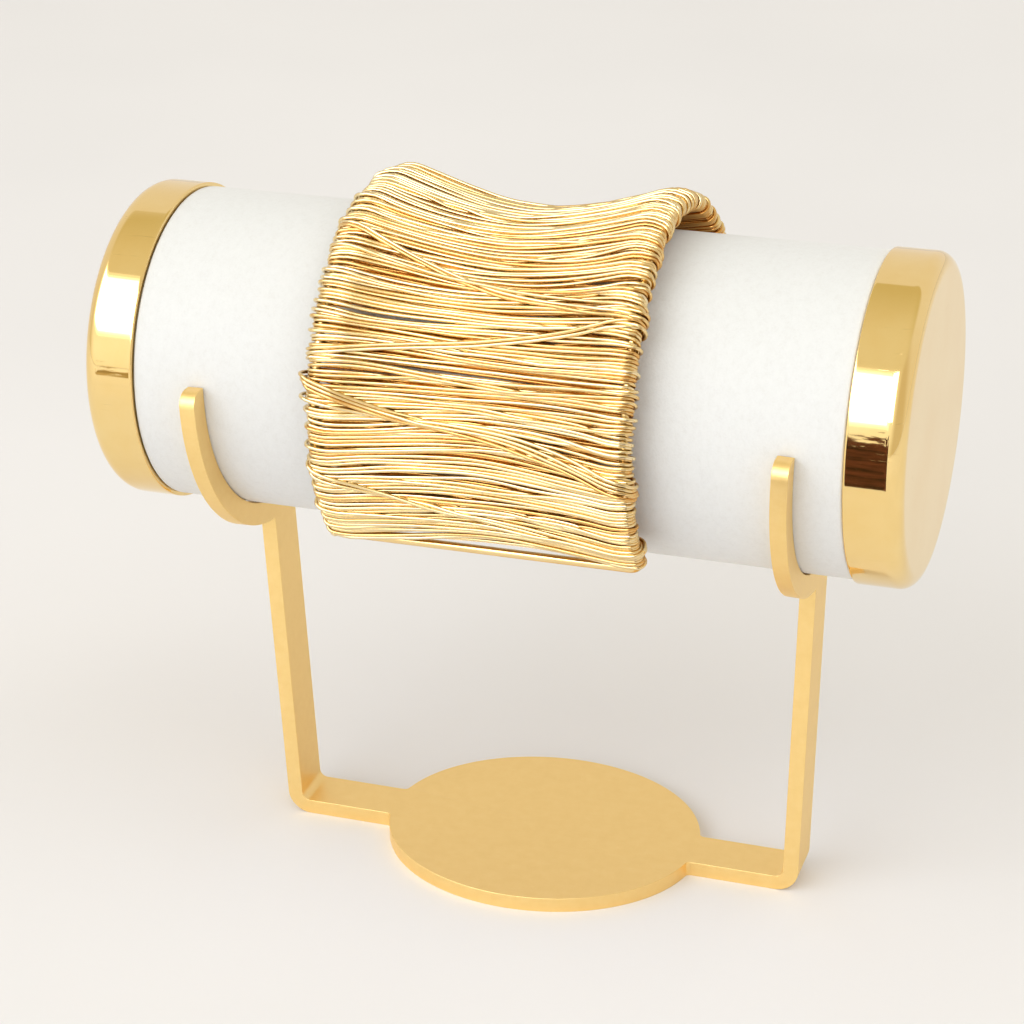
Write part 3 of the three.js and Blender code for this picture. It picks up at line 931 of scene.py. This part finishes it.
def settle(share, turn, rise):
    """Lets the turns press each other aside and on top of each other, and the wire draw straight."""
    count = len(turn)
    outer = slice(0, RUN_POINTS)
    right = slice(RUN_POINTS, RUN_POINTS + LOOP_POINTS)
    inner = slice(RUN_POINTS + LOOP_POINTS, 2 * RUN_POINTS + LOOP_POINTS)
    left = slice(2 * RUN_POINTS + LOOP_POINTS, None)
    radius = run_line(share, np.zeros((1, 1)), True)[0]
    floor = ROLL_RADIUS / MM + ROLL_PLAY + WIRE_RADIUS + VELVET_CLEARANCE
    wanted_turn, wanted_rise = turn.copy(), rise.copy()
    for _ in range(SETTLING_ROUNDS):
        outer_base = run_line(share, turn[:, outer], True)[0]
        inner_base = run_line(share, turn[:, inner][:, ::-1], False)[0]
        lateral = np.concatenate([turn[:, outer], turn[:, inner][:, ::-1]]) * radius
        height = np.concatenate([
            outer_base + rise[:, outer], inner_base - rise[:, inner][:, ::-1]])
        across, up = part_wires(lateral.T, height.T, 6)
        across, up = across.T / radius, up.T
        turn[:, outer] += across[:count]
        turn[:, inner] += across[count:, ::-1]
        turn[:, outer] += RUN_HOLD * (wanted_turn - turn)[:, outer]
        rise[:, outer] += LIFTING * up[:count]
        rise[:, inner] -= LIFTING * up[count:, ::-1]
        for loop in (right, left):
            across, up = part_wires(turn[:, loop].T * ROD_FROM_AXIS, rise[:, loop].T, 5)
            turn[:, loop] += across.T / ROD_FROM_AXIS + LOOP_HOLD * (wanted_turn - turn)[:, loop]
            rise[:, loop] += LIFTING * up.T + LOOP_RISE_HOLD * (wanted_rise - rise)[:, loop]
        for values, pull in zip((turn, rise), STRAIGHTENING):
            line = values.reshape(-1)
            line[1:-1] += pull * ((line[:-2] + line[2:]) / 2 - line[1:-1])
        np.clip(turn, -WINDING_HALF_SPAN, WINDING_HALF_SPAN, out=turn)
        rise[:, outer] = np.maximum(rise[:, outer] * SINKING, 0)
        rise[:, inner] = np.minimum(rise[:, inner], inner_base[:, ::-1] - floor)
        for loop in (right, left):
            rise[:, loop] = np.maximum(rise[:, loop], 0)
    return turn, rise


def wind_cuff():
    """Every point of the wound wire in millimetres, a row for each turn, and the turns' tones."""
    chance = np.random.default_rng(SEED)
    strands = lay_strands(chance)
    share, turn, rise = first_lay(chance, strands)
    turn, rise = settle(share, turn, rise)
    start, middle = RUN_POINTS, RUN_POINTS + LOOP_POINTS
    end = middle + RUN_POINTS
    stretches = (
        run_place(share, turn[:, :start], rise[:, :start], True),
        loop_place(turn[:, start:middle], rise[:, start:middle], 1),
        run_place(share[:, ::-1], turn[:, middle:end], rise[:, middle:end], False),
        loop_place(turn[:, end:], rise[:, end:], -1),
    )
    x = np.concatenate([stretch[0] for stretch in stretches], axis=1)
    radius = np.concatenate([stretch[1] for stretch in stretches], axis=1)
    tones = np.clip(0.5 + chance.normal(0, 0.22, len(turn)), 0, 1)
    return on_cuff(x, radius, turn), tones


def own_wander(chance, share, count, waves, size):
    """Sideways wander that each strand has for itself."""
    own = chance.normal(0, size, (waves, count, 1))
    return sum(own[k] * np.sin((k + 1) * math.pi * (share + 1) / 2) for k in range(waves))


def run_line(share, turn, outside):
    """Radius of the lowest outer wires or outermost inner ones, and its slope along the share."""
    angle = slope_angle(turn, outside)
    reach = run_reach(turn, outside)
    size = np.abs(share)
    if not outside:
        drop = inner_depth(turn)
        radius = ROD_FROM_AXIS - LOOP_RADIUS * np.cos(angle) - drop * (1 - size ** WAIST_POWER)
        return radius, drop * WAIST_POWER * np.sign(share) * size ** (WAIST_POWER - 1) / reach
    depth = waist_depth(turn)
    lift = (depth * WAIST_POWER - np.tan(angle) * reach) / (2 / RIM_BEND - WAIST_POWER)
    bent = np.clip((size - 1 + RIM_BEND) / RIM_BEND, 0, None)
    radius = ROD_FROM_AXIS + LOOP_RADIUS * np.cos(angle) + lift * (1 - bent ** 2)
    radius = radius - (depth + lift) * (1 - size ** WAIST_POWER)
    slope = (depth + lift) * WAIST_POWER * size ** (WAIST_POWER - 1) - 2 * lift * bent / RIM_BEND
    return radius, np.sign(share) * slope / reach


def run_reach(turn, outside):
    """Half the length of the runs between their loops."""
    side = 1 if outside else -1
    return half_width(turn) - side * LOOP_RADIUS * np.sin(slope_angle(turn, outside))


def inner_depth(turn):
    """How far the inner wires dip from their loops towards the axis."""
    return waist_depth(turn) * (1 - (2 * RIM_CLEARANCE - WAIST_WALL) / WAIST_DEPTH) + 0.2


def slope_angle(turn, outside):
    """Slope at which the runs meet their loops."""
    depth = waist_depth(turn) * RIM_EASING if outside else inner_depth(turn)
    return np.arctan(depth * WAIST_POWER / half_width(turn))


def run_place(share, turn, rise, outside):
    """x and radius of the wire's middle line along the runs."""
    side = 1 if outside else -1
    radius, slope = run_line(share, turn, outside)
    length = np.hypot(1, slope)
    x = share * run_reach(turn, outside)
    return x - side * rise * slope / length, radius + side * rise / length


def loop_place(turn, rise, side):
    """x and radius of the loops round the rod, in the order in which the wire runs."""
    step = (np.arange(1, LOOP_POINTS + 1) / (LOOP_POINTS + 1))[None]
    over = math.pi / 2 + slope_angle(turn, True)
    under = -math.pi / 2 + slope_angle(turn, False)
    angle = over + (under - over) * (step if side > 0 else 1 - step)
    reach = LOOP_RADIUS + rise
    x = side * (half_width(turn) + reach * np.cos(angle))
    return x, ROD_FROM_AXIS + reach * np.sin(angle)


def make_winding():
    """The wound wire, in a few pieces that end inside the cuff."""
    points, tones = wind_cuff()
    turns, per_turn = points.shape[:2]
    flat = points.reshape(-1, 3)
    steps = np.linalg.norm(np.diff(flat, axis=0), axis=1)
    along = np.append(0, np.cumsum(steps))
    inside = RUN_POINTS + LOOP_POINTS + RUN_POINTS // 2
    cuts = [round(turns * k / WINDING_PIECES) * per_turn + inside for k in range(WINDING_PIECES)]
    starts = [0] + cuts[1:]
    ends = [cut + 1 for cut in cuts[1:]] + [len(flat)]
    # How much painted shade each point of a turn takes: none along the outer run, all along the inner
    # run, easing in and out round the loops.
    loop = (np.arange(1, LOOP_POINTS + 1) / (LOOP_POINTS + 1)) ** 3
    inner_shade_shares = np.concatenate([np.zeros(RUN_POINTS), loop, np.ones(RUN_POINTS), loop[::-1]])
    pieces = []
    for number, (start, end) in enumerate(zip(starts, ends), 1):
        piece = make_tube(f"wound_wire_{number}", flat[start:end], WIRE_RADIUS, False, 2)
        mesh = piece.data
        ring = start + np.arange(len(mesh.vertices)) // STRAND_SIDES
        owner = np.clip(ring // per_turn, 0, turns - 1)
        for name, values in (
                ("strand_tone", tones[owner]), ("strand_inner_shade", inner_shade_shares[ring % per_turn])):
            attribute = mesh.attributes.new(name, "FLOAT", "POINT")
            attribute.data.foreach_set("value", values.astype(np.float32))
        around = np.arange(len(mesh.vertices)) % STRAND_SIDES * (2 * math.pi / STRAND_SIDES)
        lengths = along[np.minimum(ring, len(flat) - 1)]
        place = np.stack([
            DIE_LINES * np.cos(around), DIE_LINES * np.sin(around), lengths / DIE_LINE_LENGTH,
        ], axis=1)
        lengthwise = mesh.attributes.new("strand_place", "FLOAT_VECTOR", "POINT")
        lengthwise.data.foreach_set("vector", place.astype(np.float32).ravel())
        pieces.append(piece)
    print("wire metres", round(along[-1] / 1000, 2), "turns", turns)
    return pieces


# Floor, light and camera


def make_floor():
    """Plain pale floor with a faint weave."""
    floor = new_piece("floor", bpy.ops.mesh.primitive_plane_add, size=FLOOR_SIZE)
    material = new_material("pale_floor", Roughness=0.9, Specular_IOR_Level=0.2)
    place = object_place(material)
    weave = grain(material, place, 900, detail=2)
    cloudy = grain(material, place, 6, detail=2)
    colour = ramp(material, cloudy, (0.3, (0.75, 0.75, 0.785)), (0.7, (0.78, 0.78, 0.815)))
    plug(material, Base_Color=colour, Normal=raise_surface(material, weave, 0.1 * MM, 0.15))
    floor.data.materials.append(material)


def towards(azimuth, elevation):
    """Direction from the object, azimuth turning from the front to the right."""
    across = math.cos(elevation)
    return math.sin(azimuth) * across, -math.cos(azimuth) * across, math.sin(elevation)


def add_softbox(name, azimuth, elevation, distance, width, height, power, colour):
    """A rectangular light that faces the cuff."""
    bpy.ops.object.select_all(action="DESELECT")
    bpy.ops.object.light_add(type="AREA")
    light = bpy.context.object
    light.name = name
    light.data.shape = "RECTANGLE"
    light.data.size = width
    light.data.size_y = height
    light.data.energy = power
    light.data.color = colour
    way = Vector(towards(math.radians(azimuth), math.radians(elevation))) * distance
    light.location = way + Vector((0, 0, AXIS_HEIGHT))
    light.rotation_euler = (-way).to_track_quat("-Z", "Y").to_euler()
    return light


def add_dark_card(name, place, width, height, colours, ragged_from):
    """A mottled dark card with a ragged upper part that only the polished metal sees."""
    card = new_piece(name, bpy.ops.mesh.primitive_plane_add, size=1)
    seat_piece(
        card,
        Matrix.Translation(place) @ Matrix.Rotation(math.pi / 2, 4, "X")
        @ Matrix.Diagonal((width, height, 1, 1)),
    )
    material = new_material(name, Roughness=0.8, Specular_IOR_Level=0.1)
    spot = object_place(material)
    streaks = grain(material, spot, 80, detail=4, roughness=0.65, stretch=(1, 1, 2.5))
    colour = ramp(material, streaks, (0.35, colours[0]), (0.62, colours[1]))
    split = add_node(material, "ShaderNodeSeparateXYZ", Vector=spot)
    ragged_low, top = place[2] + ragged_from * height, place[2] + height / 2
    height_share = ranged(material, split.outputs["Z"], ragged_low, top, 0, 0.9)
    ragged = ranged(material, grain(material, spot, 180, detail=3, roughness=0.6), 0.3, 0.7)
    solid = combined(
        material, "GREATER_THAN", combined(material, "ADD", ragged, 0.001), height_share)
    plug(material, Base_Color=colour, Alpha=solid)
    card.data.materials.append(material)
    card.visible_camera = False
    card.visible_diffuse = False
    card.visible_shadow = False


def colour_surround():
    """The room by direction: glow in front, backdrop behind and ceiling above."""
    world = bpy.context.scene.world or bpy.data.worlds.new("surround")
    bpy.context.scene.world = world
    world.use_nodes = True
    tree = world.node_tree
    direction = add_node(world, "ShaderNodeTexCoord").outputs["Generated"]
    parts = add_node(world, "ShaderNodeSeparateXYZ", Vector=direction).outputs

    def share_of(value, low, high):
        node = add_node(
            world, "ShaderNodeMapRange", {"interpolation_type": "SMOOTHSTEP"},
            Value=value, From_Min=low, From_Max=high)
        return node.outputs["Result"]

    def share_towards(azimuth, elevation, far, near):
        node = add_node(world, "ShaderNodeVectorMath", {"operation": "DOT_PRODUCT"})
        tree.links.new(direction, node.inputs[0])
        node.inputs[1].default_value = towards(azimuth, elevation)
        return share_of(node.outputs["Value"], math.cos(far), math.cos(near))

    def mixed(factor, first, second):
        node = add_node(world, "ShaderNodeMix", {"data_type": "RGBA"}, Factor=factor)
        for socket, value in ((node.inputs[6], first), (node.inputs[7], second)):
            if isinstance(value, bpy.types.NodeSocket):
                tree.links.new(value, socket)
            else:
                socket.default_value = (*value, 1)
        return node.outputs[2]

    from_backdrop = math.pi / 2 - BACKDROP_TOP
    glow = share_towards(GLOW_AZIMUTH, GLOW_ELEVATION, *GLOW_RANGE)
    front = mixed(glow, ROOM_COLOUR, GLOW_COLOUR)
    fade = share_towards(0, from_backdrop, *CEILING_FADE)
    ceiling = mixed(fade, CEILING_EDGE_COLOUR, CEILING_COLOUR)
    edge = share_towards(math.pi, -from_backdrop, *BACKDROP_EDGE)
    upper = mixed(edge, ceiling, BACKDROP_COLOUR)
    lower = mixed(share_of(parts["Y"], *BACKDROP_RANGE), front, BACKDROP_COLOUR)
    colour = mixed(share_of(parts["Z"], *CEILING_RANGE), lower, upper)
    background = tree.nodes["Background"]
    tree.links.new(colour, background.inputs["Color"])
    background.inputs["Strength"].default_value = SURROUND_STRENGTH


def light_cuff():
    """The window, the lights that only gloss shows and the fills that it doesn't."""
    for number, step in enumerate(WINDOW_STEPS, 1):
        add_softbox(
            name=f"window_{number}", distance=WINDOW_DISTANCE * step,
            width=WINDOW_WIDTH * step ** 2, height=WINDOW_HEIGHT * step ** 2, **WINDOW)
    for light in GLOSS_LIGHTS:
        add_softbox(**light).visible_diffuse = False
    for light in FILL_LIGHTS:
        add_softbox(**light).visible_glossy = False


def place_camera():
    bpy.ops.object.select_all(action="DESELECT")
    bpy.ops.object.camera_add()
    camera = bpy.context.object
    camera.matrix_world = (
        Matrix.Translation(CAMERA_PLACE) @ Matrix.Rotation(CAMERA_TURN, 4, "Z")
        @ Matrix.Rotation(math.pi / 2 - CAMERA_DIP, 4, "X") @ Matrix.Rotation(-CAMERA_ROLL, 4, "Z")
    )
    camera.data.lens = CAMERA_LENS
    camera.data.sensor_width = CAMERA_SENSOR
    bpy.context.scene.camera = camera


place_camera()
make_floor()
colour_surround()
light_cuff()
for card in DARK_CARDS:
    add_dark_card(**card)

polished = polished_material()
hand_over(make_velvet_roll(), "velvet", velvet_material(), "display_roll")
left_cap = make_cap("left_cap", left_cap_low, left_cap_high, -1)
right_cap = make_cap("right_cap", right_cap_low, right_cap_high, 1)
hand_over(left_cap, "polished_cap", polished, "left_end_cap")
hand_over(right_cap, "polished_cap", polished, "right_end_cap")
hand_over(make_stand(), "satin_stand", satin_material(), "stand_frame")
hand_over(make_rod(), "cuff_rod", rod_material(), "cuff_frame_rod")
wire = wire_material()
for strand_piece in make_winding():
    hand_over(strand_piece, "cuff_wire", wire, "wire_winding")

bpy.context.scene.view_settings.view_transform = "Standard"
